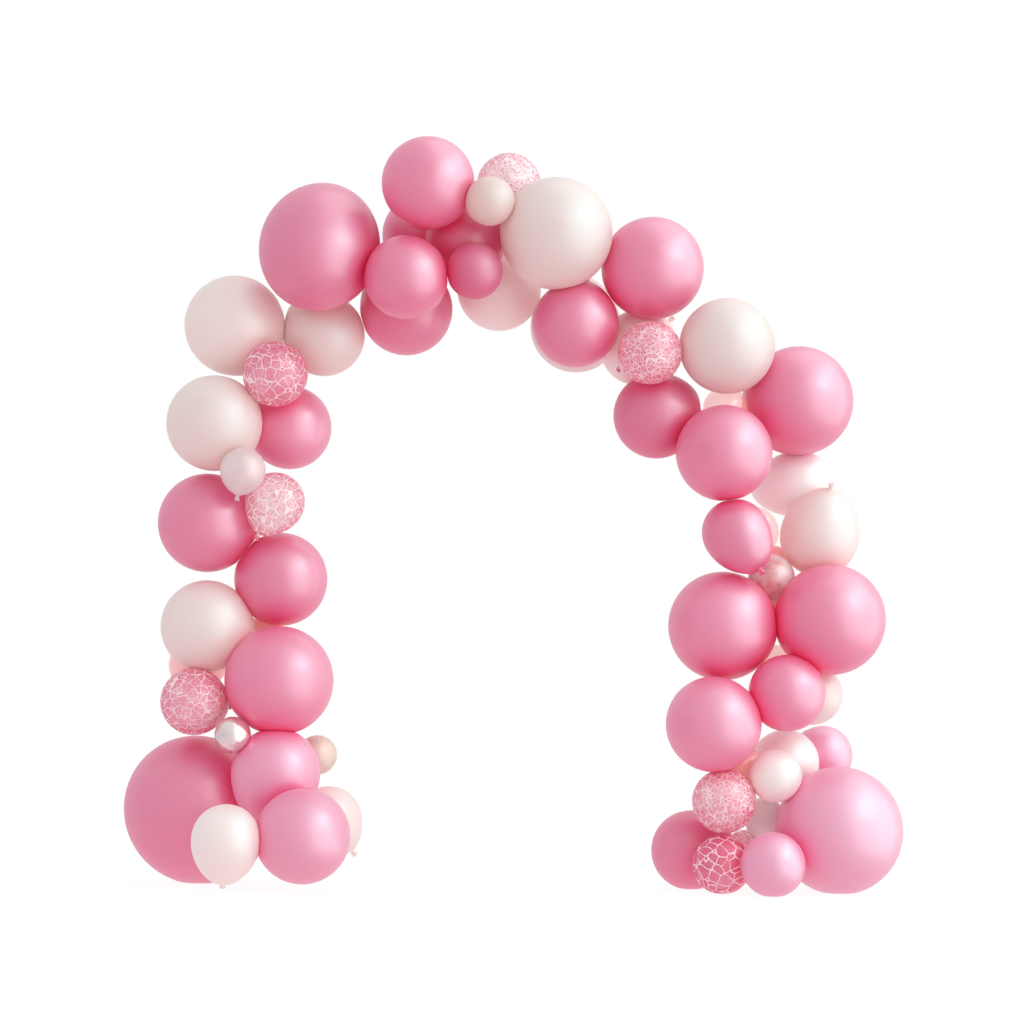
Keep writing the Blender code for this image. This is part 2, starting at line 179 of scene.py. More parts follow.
# The tones that aren't left to chance.  From -1 to 1 a balloon is a little deeper or paler in
# colour.  Past 1 it is blown tight, and fades to the thin colour at 5.  Past -1 it is slack,
# and has the colour of thick latex and little shine at -5.
TONES = {
    "left_foot_crackle": -0.1,
    "left_shoulder_crackle": -0.3,
    "right_shoulder_crackle": 0.3,
    "right_foot_upper_crackle": 0.3,
    "right_foot_lower_crackle": -1.5,
    "right_foot_back_crackle": 0.3,
    "left_leg_blush": 1.5,
    "left_leg_pearl": 0.35,
    "right_leg_pearl": -0.4,
    "right_foot_pearl": 0.6,
    "right_foot_upper_white": 4.5,
    "right_foot_front_white": 3.0,
    "left_foot_front_white": 2.8,
    "left_foot_back_white": 1.8,
    "right_leg_pear_white": 1.2,
    "right_shoulder_white": 4.5,
    "right_shoulder_inner_white": 3.0,
    "left_shoulder_upper_white": 1.6,
    "crown_lower_white": 2.5,
    "crown_small_white": -3.6,
    "crown_large_white": -2.0,
    "right_shoulder_outer_white": -2.0,
    "crown_small_pink": -4.0,
    "crown_middle_pink": -2.2,
    "left_shoulder_huge_pink": -2.0,
    "crown_clear_crackle": 0.9,
    "left_leg_clear_crackle": -0.2,
    "right_shoulder_inner_pink": -2.6,
    "left_shoulder_inner_pink": 1.8,
    "left_leg_large_pink": 1.5,
    "right_leg_lower_pink": 1.8,
    "right_leg_inner_pink": 1.6,
    "right_leg_front_pink": 1.5,
    "left_foot_floor_pink": 2.2,
    "left_foot_upper_pink": 2.5,
    "right_foot_back_pink": 2.6,
    "right_foot_huge_pink": 2.6,
    "right_foot_front_pink": 2.6,
}
TONE_SEED = 11                     # for the tones that are left to chance
FLOOR_SIZE = 60
FLOOR_LEVEL = -0.0005              # a hair under the lowest balloons
FLOOR_GREY = 0.15
FLOOR_GLOW = 0.9
CAMERA_PLACE = (-0.0012, -8.0085, 0.6)
CAMERA_LENS = 101.53               # mm
CAMERA_SENSOR = 36                 # mm
CAMERA_TILT = 3.148                # degrees up
CAMERA_LEAN = 0.5                  # degrees to the side


class Balloon:
    """One balloon: its finish, its middle, its radius and the way its neck points.

    Its presses are the planes that it is pressed flat against, and its neighbours are the
    balloons near enough to press it.
    """

    def __init__(self, name, slot, place, radius, neck):
        self.name = name
        self.slot = slot
        self.place = place
        self.radius = radius
        self.neck = neck
        self.stretch = STRETCH.get(name, 1.0)
        self.drawn = PEARS.get(name, DRAWN)
        self.sharpness = PEAR_SHARPNESS if self.drawn > PEAR_FROM else DRAWN_SHARPNESS
        self.presses = []
        self.neighbours = []

    def neck_radius(self):
        return NECK_RADIUS[0] + NECK_RADIUS[1] * self.radius

    def neck_start(self):
        """How far the body reaches from its middle to where its neck begins."""
        return self.radius * (self.stretch + self.drawn)

    def neck_end(self):
        """How far the lip is from the body's middle."""
        length = NECK_LENGTH[0] + NECK_LENGTH[1] * self.radius
        return self.neck_start() + length + KNOT_LENGTH * self.neck_radius()

    def knot_start(self):
        """How far the neck reaches to where the knot begins."""
        return self.neck_end() - KNOT_LENGTH * self.neck_radius()

    def outside(self, points):
        """How far each point lies outside the body.

        The body is a ball of this radius, stretched along the neck, and its lower end is drawn
        out by a power of the distance from the crown.  Undoing both turns it back into a ball.
        """
        away = points - self.place
        up = -(away @ self.neck)
        across = np.linalg.norm(away + up[:, None] * self.neck, axis=1)
        level = np.clip(up / (self.radius * self.stretch), -1, 1)
        for _ in range(DRAW_ROUNDS):
            draw = self.drawn * ((1 - level) / 2) ** self.sharpness
            level = np.clip((up / self.radius + draw) / self.stretch, -1, 1)
        return np.hypot(across, (up + self.radius * draw) / self.stretch) - self.radius


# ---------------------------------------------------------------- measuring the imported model

def corners(node):
    """The corners of one node of the model, each of them once."""
    mesh = frame["nodes"][node].data
    points = np.empty(len(mesh.vertices) * 3, np.float32)
    mesh.vertices.foreach_get("co", points)
    return np.unique(points.reshape(-1, 3).astype(float).round(6), axis=0)


def ball_through(points):
    """Middle and radius of the ball that most of the points lie on.

    Balls are tried through many sets of four points.  A ball through points p solves
    2 p.c + k = p.p, where c is its middle and k the square of its radius less c.c.
    """
    middle = points.mean(axis=0)
    local = points - middle
    chance = np.random.default_rng(BALL_SEED)
    four = local[chance.integers(0, len(local), (BALL_TRIALS, 4))]
    rows = np.concatenate([2 * four, np.ones((BALL_TRIALS, 4, 1))], axis=2)
    reach = np.abs(local).max()
    apart = np.abs(np.linalg.det(rows)) > FOUR_APART * reach ** 3
    squares = (four[apart] ** 2).sum(axis=2)[:, :, None]
    answers = np.linalg.solve(rows[apart], squares)[:, :, 0]
    centres = answers[:, :3]
    radii = np.sqrt(answers[:, 3] + (centres ** 2).sum(axis=1))
    miss = np.abs(np.linalg.norm(local[None] - centres[:, None], axis=2) - radii[:, None])
    best = ((miss < BALL_MISS).sum(axis=1)).argmax()
    return centres[best] + middle, radii[best]


def lip_direction(points, place):
    """The way from the body's middle to the lip, whose corners are the furthest out."""
    away = points - place
    distance = np.linalg.norm(away, axis=1)
    lip = away[distance > distance.max() - LIP_DEPTH].mean(axis=0)
    return lip / np.linalg.norm(lip)


def measure(node, slot):
    """One balloon from its node: the ball its corners lie on, refined with its true outline.

    The corners that no neighbour has cut lie on the body.  Each round moves the middle and
    the radius by least squares over the corners that are near it, and looks nearer.  It looks
    from further away at a stretched body, which is no ball at first.
    """
    points = corners(node)
    place, radius = ball_through(points)
    balloon = Balloon(node, slot, place, radius, lip_direction(points, place))
    furthest = FIT_FROM + radius * (balloon.stretch - 1)
    for near in np.geomspace(furthest, BALL_MISS, FIT_ROUNDS):
        miss = balloon.outside(points)
        slopes = []
        for axis in range(4):
            moved = Balloon(node, slot, balloon.place, balloon.radius, balloon.neck)
            if axis < 3:
                moved.place = balloon.place + FIT_TRIAL * np.eye(3)[axis]
            else:
                moved.radius = balloon.radius + FIT_TRIAL
            slopes.append((moved.outside(points) - miss) / FIT_TRIAL)
        slopes = np.stack(slopes, axis=1)
        share = 1 / (1 + (miss / near) ** 2) ** 2
        move = np.linalg.lstsq(slopes * share[:, None], -miss * share, rcond=None)[0]
        move = np.clip(move, -FIT_STEP, FIT_STEP)
        balloon.place = balloon.place + move[:3]
        balloon.radius = balloon.radius + float(move[3])
        balloon.neck = lip_direction(points, balloon.place)
    return balloon


def measure_all():
    """Every node of the model as a balloon, by name."""
    slots = {row["node"]: row["material_slot"] for row in frame["record"]["subparts"]}
    return {node: measure(node, slots[node]) for node in sorted(slots)}


# ---------------------------------------------------------------- the fillers at the back

def even_directions(count):
    """Directions spread evenly over the sphere, along a golden spiral."""
    steps = np.arange(count) + 0.5
    height = 1 - 2 * steps / count
    turn = math.pi * (3 - math.sqrt(5)) * steps
    ring = np.sqrt(1 - height ** 2)
    return np.stack([ring * np.cos(turn), ring * np.sin(turn), height], axis=1)


def rest_against(radius, neighbours):
    """Where a ball rests against three others, on the side away from the front.

    Its middle is as far from each of theirs as their radii together, a little less.  Seen from
    the first, it lies along the line to the second, across it and off the plane of the three.
    """
    one, two, three = [ball.place for ball in neighbours]
    reaches = [SNUG * (ball.radius + radius) for ball in neighbours]
    along = two - one
    apart = np.linalg.norm(along)
    along /= apart
    side = three - one
    far = side @ along
    side = side - far * along
    wide = np.linalg.norm(side)
    side /= wide
    x = (reaches[0] ** 2 - reaches[1] ** 2 + apart ** 2) / (2 * apart)
    y = (reaches[0] ** 2 - reaches[2] ** 2 + far ** 2 + wide ** 2 - 2 * far * x) / (2 * wide)
    off = math.sqrt(max(reaches[0] ** 2 - x ** 2 - y ** 2, 0))
    out = np.cross(along, side)
    out *= math.copysign(1, out[1])
    return one + x * along + y * side + off * out


def stand_against(radius, neighbours):
    """Where a ball stands on the floor against two others, on the side away from the front."""
    one, two = [ball.place for ball in neighbours]
    reaches = [math.sqrt((SNUG * (ball.radius + radius)) ** 2 - (ball.place[2] - radius) ** 2)
               for ball in neighbours]
    along = (two - one) * (1, 1, 0)
    apart = np.linalg.norm(along)
    along /= apart
    x = (reaches[0] ** 2 - reaches[1] ** 2 + apart ** 2) / (2 * apart)
    off = math.sqrt(max(reaches[0] ** 2 - x ** 2, 0))
    out = np.array([-along[1], along[0], 0])
    out *= math.copysign(1, out[1])
    place = one + x * along + off * out
    place[2] = radius
    return place


def add_fillers(balloons):
    """The small balloons that no node of the model stands for."""
    for name, slot, width, against in FILLERS:
        neighbours = [balloons[other] for other in against]
        settle = rest_against if len(neighbours) == 3 else stand_against
        place = settle(width / 2, neighbours)
        balloons[name] = Balloon(name, slot, place, width / 2, None)


def find_presses(balloons):
    """The plane between each two close neighbours, as a way out from each and a distance.

    It is the plane that holds the circle in which two round bodies would cross, or one in the
    gap between bodies that stay clear of each other.  The floor is one too.
    """
    for one in balloons.values():
        one.presses.append((np.array([0.0, 0.0, -1.0]), one.place[2]))
        for other in balloons.values():
            way = other.place - one.place
            distance = np.linalg.norm(way)
            if one is not other and distance < one.neck_end() + other.neck_end():
                reach = (distance ** 2 + one.radius ** 2 - other.radius ** 2) / (2 * distance)
                one.presses.append((way / distance, reach))
                one.neighbours.append(other)


def turn_fillers(balloons):
    """Point each filler's neck where it has the most room, rather to the back."""
    ways = even_directions(FILLER_WAYS)
    for balloon in balloons.values():
        if balloon.neck is None:
            room = np.min([reach - balloon.neck_end() * (ways @ way)
                           for way, reach in balloon.presses], axis=0)
            room = np.minimum(room, NECK_CLEARANCE)
            balloon.neck = ways[(room + TO_THE_BACK * NECK_CLEARANCE * ways[:, 1]).argmax()]


# ---------------------------------------------------------------- the skin of one balloon

def smooth_path(points, count):
    """Points along a smooth curve through these ones.

    Each stretch is a cubic, and at each of its ends it runs the way from the point before to
    the point after.
    """
    points = np.array(points)
    ends = np.vstack([2 * points[0] - points[1], points, 2 * points[-1] - points[-2]])
    along = np.linspace(0, len(points) - 1, count)
    stretch = np.minimum(along.astype(int), len(points) - 2)
    part = (along - stretch)[:, None]
    before, start, end, after = (ends[stretch + step] for step in range(4))
    bend = 2 * before - 5 * start + 4 * end - after
    twist = after - before + 3 * (start - end)
    return start + part * ((end - before) + part * (bend + part * twist)) / 2


def carry_over(start, leaving, end, arriving, count):
    """A cubic from one point to another, which leaves and arrives in these directions."""
    part = np.linspace(0, 1, count + 1)[1:-1, None]
    pull = np.linalg.norm(end - start)
    leaving = pull * leaving / np.linalg.norm(leaving)
    arriving = pull * arriving / np.linalg.norm(arriving)
    over = part ** 2 * (3 - 2 * part)
    first = part * (1 - part) ** 2
    last = part ** 2 * (part - 1)
    return start + over * (end - start) + first * leaving + last * arriving


def skin_outline(balloon):
    """The outline from crown to closed mouth: how far out and how far along the neck's way.

    The body is out = R sin a and along = R (d ((1 - cos a) / 2)^s - t cos a), with the angle a
    from 0 at the crown, drawn out by d and stretched by t.  A cubic carries it over into the
    neck, and a smooth curve through KNOT makes the neck, the knot and the rolled lip.  The
    third column is the share of the way: up to BODY_SHARE on the body, and 1 at the mouth.
    """
    radius = balloon.radius
    neck = balloon.neck_radius()
    last = math.pi - math.asin(FILLET_FROM * neck / radius)
    angle = np.linspace(0, last, 2 + round(radius * last / GRID))
    low = (1 - np.cos(angle)) / 2
    draw = balloon.drawn * low ** balloon.sharpness
    body = radius * np.stack([np.sin(angle), draw - balloon.stretch * np.cos(angle)], axis=1)
    knot = neck * smooth_path(KNOT, KNOT_RINGS) + (0, balloon.knot_start())
    leaving = body[-1] - body[-2]
    fillet = carry_over(body[-1], leaving, knot[0], np.array([0.0, 1.0]), FILLET_RINGS)
    outline = np.vstack([body, fillet, knot])
    rest = len(outline) - len(body)
    share = np.append(BODY_SHARE * angle / last, BODY_SHARE + (1 - BODY_SHARE)
                      * np.arange(1, rest + 1) / rest)
    return np.column_stack([outline, share])


def pressed(balloon, points):
    """The points, pressed flat against the neighbours and the floor.

    For each plane, t is how far out a point lies, as a share of the plane's distance.  A point
    is drawn in by (1 + the sum of t^n)^(1/n).  That leaves it alone well inside all the planes,
    holds it at a plane that it would pass, and rounds the rim between the two.
    """
    away = points - balloon.place
    sharp = math.log(2) * balloon.radius / RIM
    total = np.zeros(points.shape[:-1])
    for way, reach in balloon.presses:
        total += (np.maximum(away @ way, 0) / (reach - AIR)) ** sharp
    return balloon.place + away / ((1 + total) ** (1 / sharp))[..., None]


def crowded(balloon, points):
    """How much the neighbours crowd each point, from 0 in the open to 1 against one of them.

    The finishes paint shade and red bounce light by it, deeper and redder towards the neighbours.
    Each neighbour adds a share, e^(-gap / reach) times how much it reddens others, where the gap
    is the way from the point to its round body and the reach is how far the painted shade
    reaches.
    """
    free = np.ones(len(points))
    for other in balloon.neighbours:
        gap = np.maximum(np.linalg.norm(points - other.place, axis=1) - other.radius, 0)
        free *= 1 - PAINTED_REDDENING.get(other.slot, 1.0) * np.exp(-gap / CONTACT_SHADE_REACH)
    return 1 - free


def skin_points(balloon):
    """The grid of the skin, with a row for each point of the outline, and each row's share.

    Each row is a ring about the neck's axis.  Folds r (1 + f cos(p (turn + twist))) come up
    towards the neck, twist along the knot and die away at the lip, and the tail leans aside.
    """
    out, along, share = skin_outline(balloon).T
    neck = balloon.neck_radius()
    eighth = round(2 * math.pi * balloon.radius / GRID / 8)
    turn = np.linspace(0, 2 * math.pi, max(FEWEST_AROUND, 8 * eighth), endpoint=False)
    near = np.clip(1 - (out / neck - 1) / PLEATS_FROM, 0, 1) ** 2 * (along > 0)
    past = np.maximum(along - balloon.knot_start(), 0) / neck
    fading = np.clip(PLEATS_FADE[0] - PLEATS_FADE[1] * past, SHALLOWEST_PLEAT, 1)
    folds = np.cos(PLEATS * (turn + PLEAT_TWIST * past[:, None]))
    ring = out[:, None] * (1 + PLEAT_DEPTH * (near * fading)[:, None] * folds)
    upright = abs(balloon.neck[2]) >= UPRIGHT
    aside = np.cross(balloon.neck, (0.0, 1.0, 0.0) if upright else (0.0, 0.0, 1.0))
    aside /= np.linalg.norm(aside)
    across = np.cross(balloon.neck, aside)
    around = np.cos(turn)[:, None] * aside + np.sin(turn)[:, None] * across
    lean = (TAIL_LEAN * neck * past ** 2)[:, None] * aside
    middle = balloon.place + along[:, None] * balloon.neck + lean
    return pressed(balloon, middle[:, None] + ring[:, :, None] * around[None]), share


def skin_faces(rings, around):
    """The faces of rings of points between two poles, each a list of its corners' numbers.

    Corner 0 is the crown and the last one the mouth.  The faces at the poles have three sides,
    and those between two rings have four.
    """
    column = np.arange(around)
    beside = (column + 1) % around
    start = 1 + around * np.arange(rings - 1)[:, None]
    quads = np.stack([start + column, start + beside, start + around + beside,
                      start + around + column], axis=2).reshape(-1, 4)
    crown = np.stack([np.zeros(around, int), 1 + beside, 1 + column], axis=1)
    foot = 1 + around * (rings - 1)
    mouth = np.stack([foot + column, foot + beside, np.full(around, foot + around)], axis=1)
    return crown.tolist() + quads.tolist() + mouth.tolist()


def skin_layout(share, around):
    """Each face corner's turn about the neck, from 0 to 1, and its share of the way.

    They come in the order of skin_faces.  A pole's corner has the turn of its face's middle.
    """
    left = np.arange(around) / around
    right = left + 1 / around
    middle = left + 0.5 / around
    shape = (len(share) - 3, around)
    lefts, rights = np.broadcast_to(left, shape), np.broadcast_to(right, shape)
    top = np.broadcast_to(share[1:-2, None], shape)
    bottom = np.broadcast_to(share[2:-1, None], shape)
    turns = (np.stack([middle, right, left], axis=1),
             np.stack([lefts, rights, rights, lefts], axis=2),
             np.stack([left, right, middle], axis=1))
    shares = (np.tile([share[0], share[1], share[1]], (around, 1)),
              np.stack([top, top, bottom, bottom], axis=2),
              np.tile([share[-2], share[-2], share[-1]], (around, 1)))
    return np.stack([np.concatenate([part.ravel() for part in parts])
                     for parts in (turns, shares)], axis=1)


def store(mesh, name, values):
    """A value for each point of the mesh, which the finishes read by its name."""
    layer = mesh.attributes.new(name, "FLOAT", "POINT")
    layer.data.foreach_set("value", values.astype(np.float32))


def make_skin(balloon, tone):
    """The balloon as one closed mesh, laid out for its finish."""
    grid, share = skin_points(balloon)
    rings = len(grid) - 2
    around = grid.shape[1]
    points = np.vstack([grid[0, :1], grid[1:-1].reshape(-1, 3), grid[-1, :1]])
    mesh = bpy.data.meshes.new(balloon.name)
    mesh.from_pydata(points, [], skin_faces(rings, around))
    layout = mesh.uv_layers.new(name="skin")
    layout.data.foreach_set("uv", skin_layout(share, around).astype(np.float32).ravel())
    store(mesh, "tone", np.full(len(points), tone))
    # Painted contact shade and red bounce light, which the latex finishes read
    store(mesh, "crowded", crowded(balloon, points))
    mesh.shade_smooth()
    piece = bpy.data.objects.new(balloon.name + "_skin", mesh)
    bpy.context.scene.collection.objects.link(piece)
    return piece


# ---------------------------------------------------------------- shader building

def shader_node(tree, kind, inputs=None, **settings):
    """A new node with these settings.  An input takes a value, or the socket that feeds it."""
    made = tree.nodes.new(kind)
    for name, value in settings.items():
        setattr(made, name, value)
    for name, value in (inputs or {}).items():
        if isinstance(value, bpy.types.NodeSocket):
            tree.links.new(value, made.inputs[name])
        else:
            made.inputs[name].default_value = value
    return made


def reckon(tree, operation, *values):
    """The result of a Math node on these values and sockets."""
    inputs = dict(enumerate(values))
    return shader_node(tree, "ShaderNodeMath", inputs, operation=operation).outputs[0]


def ease(tree, value, start, end, low=0.0, high=1.0):
    """A value that eases from low to high while the given one goes from start to end."""
    inputs = {"Value": value, "From Min": start, "From Max": end, "To Min": low, "To Max": high}
    return shader_node(tree, "ShaderNodeMapRange", inputs,
                       interpolation_type="SMOOTHSTEP").outputs[0]


def blend_colours(tree, share, first, second):
    """One colour turning into another with the share."""
    mix = shader_node(tree, "ShaderNodeMix", data_type="RGBA")
    for socket, value in zip((mix.inputs[0], mix.inputs[6], mix.inputs[7]),
                             (share, first, second)):
        if isinstance(value, bpy.types.NodeSocket):
            tree.links.new(value, socket)
        else:
            socket.default_value = value
    return mix.outputs[2]


def noise(tree, place, scale, detail):
    """A noise texture's outputs: a value and a colour."""
    inputs = {"Vector": place, "Scale": scale, "Detail": detail}
    return shader_node(tree, "ShaderNodeTexNoise", inputs).outputs


def edge_distance(tree, place, scale):
    """How far each place is from the edge of its cell, in cells."""
    return shader_node(tree, "ShaderNodeTexVoronoi", {"Vector": place, "Scale": scale},
                       feature="DISTANCE_TO_EDGE").outputs[0]


def own_place(tree):
    """Where a place is on its own piece."""
    return shader_node(tree, "ShaderNodeTexCoord").outputs["Object"]


def stored(tree, name):
    """A value that make_skin stored for each point."""
    return shader_node(tree, "ShaderNodeAttribute", attribute_name=name).outputs["Fac"]


def turn_and_share(tree):
    """Where a place is on the skin: its turn about the neck, and its share from the crown."""
    layout = shader_node(tree, "ShaderNodeUVMap", uv_map="skin").outputs[0]
    split = shader_node(tree, "ShaderNodeSeparateXYZ", {0: layout})
    return split.outputs["X"], split.outputs["Y"]


def new_group(name, inputs, outputs):
    """An empty shader group, its inputs' node and its outputs' node."""
    tree = bpy.data.node_groups.new(name, "ShaderNodeTree")
    for socket, kind, value in inputs:
        made = tree.interface.new_socket(socket, in_out="INPUT", socket_type="NodeSocket" + kind)
        made.default_value = value
    for socket, kind in outputs:
        tree.interface.new_socket(socket, in_out="OUTPUT", socket_type="NodeSocket" + kind)
    return tree, tree.nodes.new("NodeGroupInput"), tree.nodes.new("NodeGroupOutput")


def latex_skin():
    """Latex, thicker and deeper in colour at the crown and the neck, cloudy and fine grained.

    Its tone makes it paler or deeper, as TONES says. Where neighbours crowd it, its colour is
    made lighter and then deeper and redder: painted shade and painted bounce light, for light
    that takes the colour of two skins more than once.
    """
    tree, given, result = new_group(
        "latex_skin",
        [("Colour", "Color", (1, 1, 1, 1)), ("Thick Colour", "Color", (1, 1, 1, 1)),
         ("Thin Colour", "Color", (1, 1, 1, 1)),
         ("Roughness", "Float", 0.4), ("Cloudiness", "Float", 0.04)],
        [("Colour", "Color"), ("Roughness", "Float"), ("Height", "Float"), ("Shine", "Float")])
    place = own_place(tree)
    tone = stored(tree, "tone")
    # Painted contact shade: near neighbours the colour is lifted, then deepened and reddened
    close = stored(tree, "crowded")
    along = turn_and_share(tree)[1]
    clouds = noise(tree, place, scale=7.0, detail=3.0)[0]
    grain = noise(tree, place, scale=420.0, detail=2.0)[0]

    crown = ease(tree, along, *CROWN_SPOT, CROWN_DEPTH, 0.0)
    throat = ease(tree, along, *THROAT)
    drawn_up = reckon(tree, "MAXIMUM", crown, throat)
    slack = ease(tree, tone, *SLACK_TONES)
    thick = reckon(tree, "MAXIMUM", drawn_up, slack)
    colour = blend_colours(tree, thick, given.outputs["Colour"], given.outputs["Thick Colour"])
    cloud = reckon(tree, "MULTIPLY", reckon(tree, "SUBTRACT", clouds, 0.5),
                   given.outputs["Cloudiness"])
    lift = reckon(tree, "ADD", cloud, reckon(tree, "MULTIPLY_ADD", tone, TONE_LIFT, 1.0))
    # Painted contact shade, first part: lighter between neighbours
    lift = reckon(tree, "MULTIPLY_ADD", close, CONTACT_SHADE_LIFT, lift)
    lifted = shader_node(tree, "ShaderNodeHueSaturation", {"Color": colour, "Value": lift})
    tight = ease(tree, tone, *TIGHT_TONES)
    thinned = blend_colours(tree, tight, lifted.outputs[0], given.outputs["Thin Colour"])
    # Painted contact shade, second part: a gamma from 1 to 2 deepens and reddens the colour
    # towards neighbours
    shade_deepened = shader_node(tree, "ShaderNodeGamma",
                           {"Color": thinned, "Gamma": reckon(tree, "ADD", close, 1.0)})

    rough = reckon(tree, "MULTIPLY_ADD", reckon(tree, "SUBTRACT", grain, 0.5), GRAIN_ROUGHNESS,
                   given.outputs["Roughness"])
    rough = reckon(tree, "MULTIPLY_ADD", drawn_up, DRAWN_UP_ROUGHNESS, rough)
    rough = reckon(tree, "MULTIPLY_ADD", slack, SLACK_ROUGHNESS, rough)
    tree.links.new(shade_deepened.outputs[0], result.inputs["Colour"])
    tree.links.new(rough, result.inputs["Roughness"])
    tree.links.new(grain, result.inputs["Height"])
    tree.links.new(ease(tree, slack, 0.0, 1.0, 1.0, SLACK_SHINE), result.inputs["Shine"])
    return tree


def crackle_print():
    """A net of printed lines around uneven cells: broad lines, and a finer net between them.

    A line runs where a place is about as near to one cell's middle as to the next one's.
    Noise bends the net and lets the lines swell and thin.  A darker edge runs beside each
    broad line, and mist lies over parts of the net.  A pale balloon has the closer net, and
    more of the fine lines and the mist.
    """
    tree, given, result = new_group(
        "crackle_print",
        [("Cells", "Float", 36.0), ("Width", "Float", 0.07), ("Fine Lines", "Float", 0.5)],
        [("Lines", "Float"), ("Edges", "Float"), ("Mist", "Float")])
    tone = stored(tree, "tone")
    pale = ease(tree, tone, -1.0, 1.0)
    place = own_place(tree)
    wander = noise(tree, place, scale=26.0, detail=2.0)["Color"]
    offset = shader_node(tree, "ShaderNodeVectorMath", {0: wander, 1: (-0.5, -0.5, -0.5)},
                         operation="ADD").outputs[0]
    bent = shader_node(tree, "ShaderNodeVectorMath", {0: offset, 1: (NET_BEND,) * 3, 2: place},
                       operation="MULTIPLY_ADD").outputs[0]
    swell = ease(tree, noise(tree, place, scale=45.0, detail=1.0)[0], 0.3, 0.7, *NET_SWELL)
    width = reckon(tree, "MULTIPLY", given.outputs["Width"], swell)

    cells = reckon(tree, "MULTIPLY", given.outputs["Cells"],
                   ease(tree, tone, -1.0, 1.0, *NET_CLOSENESS))
    finer = reckon(tree, "MULTIPLY", cells, FINER)
    from_line = reckon(tree, "DIVIDE", edge_distance(tree, bent, cells), width)
    from_fine = reckon(tree, "DIVIDE", edge_distance(tree, bent, finer), width)
    broad = ease(tree, from_line, 0.5, 1.0, 1.0, 0.0)
    fine_share = reckon(tree, "MULTIPLY", pale, given.outputs["Fine Lines"])
    fine = reckon(tree, "MULTIPLY", ease(tree, from_fine, 0.6, 1.5, 1.0, 0.0), fine_share)
    clouds = ease(tree, noise(tree, place, scale=16.0, detail=4.0)[0], 0.38, 0.66)
    tree.links.new(reckon(tree, "MAXIMUM", broad, fine), result.inputs["Lines"])
    tree.links.new(ease(tree, from_line, 1.1, 2.3, 1.0, 0.0), result.inputs["Edges"])
    tree.links.new(reckon(tree, "MULTIPLY", clouds, pale), result.inputs["Mist"])
    return tree


def pearl_shimmer():
    """Soft clouds of mica, and streaks of it from crown to neck that begin below the crown."""
    tree, given, result = new_group(
        "pearl_shimmer", [("Streaks", "Float", 0.5)], [("Shimmer", "Float")])
    turn, along = turn_and_share(tree)
    angle = reckon(tree, "MULTIPLY", turn, 2 * math.pi)
    ring = shader_node(tree, "ShaderNodeCombineXYZ",
                       {0: reckon(tree, "COSINE", angle), 1: reckon(tree, "SINE", angle),
                        2: reckon(tree, "MULTIPLY", along, 0.5)}).outputs[0]
    streaks = noise(tree, ring, scale=4.5, detail=3.0)[0]
    clouds = noise(tree, own_place(tree), scale=22.0, detail=3.0)[0]
    streaked = reckon(tree, "MULTIPLY", given.outputs["Streaks"], ease(tree, along, 0.1, 0.4))
    even = reckon(tree, "SUBTRACT", 1.0, streaked)
    shimmer = reckon(tree, "MULTIPLY_ADD", streaks, streaked,
                     reckon(tree, "MULTIPLY", clouds, even))
    tree.links.new(ease(tree, shimmer, 0.28, 0.72), result.inputs["Shimmer"])
    return tree


# ---------------------------------------------------------------- the finishes

def new_finish(name, **plain):
    """A material, its tree and its Principled BSDF with these plain values."""
    material = bpy.data.materials.new(name)
    material.use_nodes = True
    shader = material.node_tree.nodes["Principled BSDF"]
    for socket, value in plain.items():
        shader.inputs[socket.replace("_", " ")].default_value = value
    return material, material.node_tree, shader


def place_group(tree, group, **values):
    """A shader group in a material, with its values."""
    placed = shader_node(tree, "ShaderNodeGroup", node_tree=group)
    for socket, value in values.items():
        placed.inputs[socket.replace("_", " ")].default_value = value
    return placed


def lay_latex(tree, shader, groups, colour, thick, roughness, cloudiness, grain,
              thin=THIN_COLOUR):
    """Feed a shader with the latex skin, and give back its colour."""
    skin = place_group(tree, groups["latex_skin"], Colour=(*colour, 1),
                       Thick_Colour=(*thick, 1), Thin_Colour=(*thin, 1), Roughness=roughness,
                       Cloudiness=cloudiness)
    bump = shader_node(tree, "ShaderNodeBump",
                       {"Height": skin.outputs["Height"], "Strength": grain, "Distance": 0.0002})
    coat = shader.inputs["Coat Weight"]
    tree.links.new(reckon(tree, "MULTIPLY", skin.outputs["Shine"], coat.default_value), coat)
    tree.links.new(skin.outputs["Roughness"], shader.inputs["Roughness"])
    tree.links.new(bump.outputs[0], shader.inputs["Normal"])
    tree.links.new(skin.outputs["Colour"], shader.inputs["Base Color"])
    return skin.outputs["Colour"]


def pink_latex(groups):
    # Painted glow: a faint red emission lifts the shade as if light shone through the latex; it
    # is no lamp
    material, tree, shader = new_finish(
        "pink_latex", Subsurface_Weight=0.35, Subsurface_Radius=(1.0, 0.25, 0.35),
        Subsurface_Scale=0.03, IOR=1.6, Specular_IOR_Level=1.0,
        Specular_Tint=(0.35, 1.0, 1.0, 1.0), Coat_Weight=0.4, Coat_Roughness=0.24,
        Emission_Color=(1.0, 0.03, 0.15, 1.0), Emission_Strength=0.07)
    lay_latex(tree, shader, groups, colour=(0.81, 0.215, 0.367), thick=(0.76, 0.13, 0.28),
              thin=(0.90, 0.68, 0.86), roughness=0.48, cloudiness=0.08, grain=0.15)
    return material


def white_latex(groups):
    # Painted glow: a faint warm emission lifts the shade, standing in for light through the latex
    material, tree, shader = new_finish(
        "white_latex", Subsurface_Weight=0.35, Subsurface_Radius=(1.0, 0.45, 0.4),
        Subsurface_Scale=0.03, Specular_IOR_Level=0.9,
        Specular_Tint=(0.35, 1.0, 1.0, 1.0), Coat_Weight=0.1, Coat_Roughness=0.4,
        Emission_Color=(1.0, 0.52, 0.46, 1.0), Emission_Strength=0.08)
    lay_latex(tree, shader, groups, colour=(0.825, 0.715, 0.695), thick=(0.82, 0.64, 0.61),
              roughness=0.48, cloudiness=0.05, grain=0.15)
    return material


